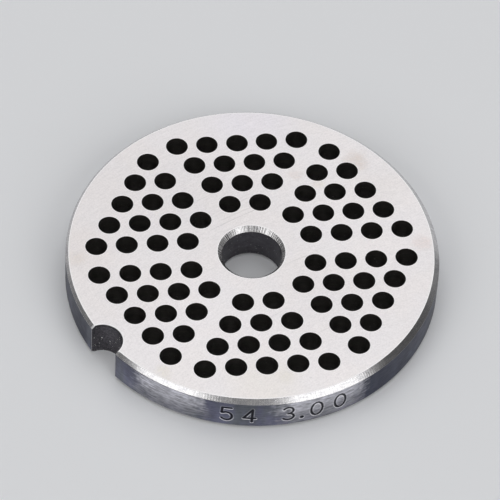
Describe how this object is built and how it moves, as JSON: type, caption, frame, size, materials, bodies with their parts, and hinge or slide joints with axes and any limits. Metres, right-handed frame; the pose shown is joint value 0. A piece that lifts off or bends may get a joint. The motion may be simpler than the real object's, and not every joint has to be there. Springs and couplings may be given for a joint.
{
  "type": "meat grinder plate",
  "caption": "Flat round steel plate for a meat grinder, drilled through in sectors, with a chamfered central bore and a round keying notch in its rim.",
  "frame": {"origin": "centre of the lower face", "axes": "+Z along the plate's axis, from the lower face to the upper one; -Y from the axis to the notch in the rim"},
  "size_m": [0.0534, 0.0534, 0.006],
  "materials": {
    "ground_steel": "surface-ground faces, turned rim and chamfers"
  },
  "bodies": {
    "root": {"grinder_plate": "ground_steel"}
  },
  "joints": []
}
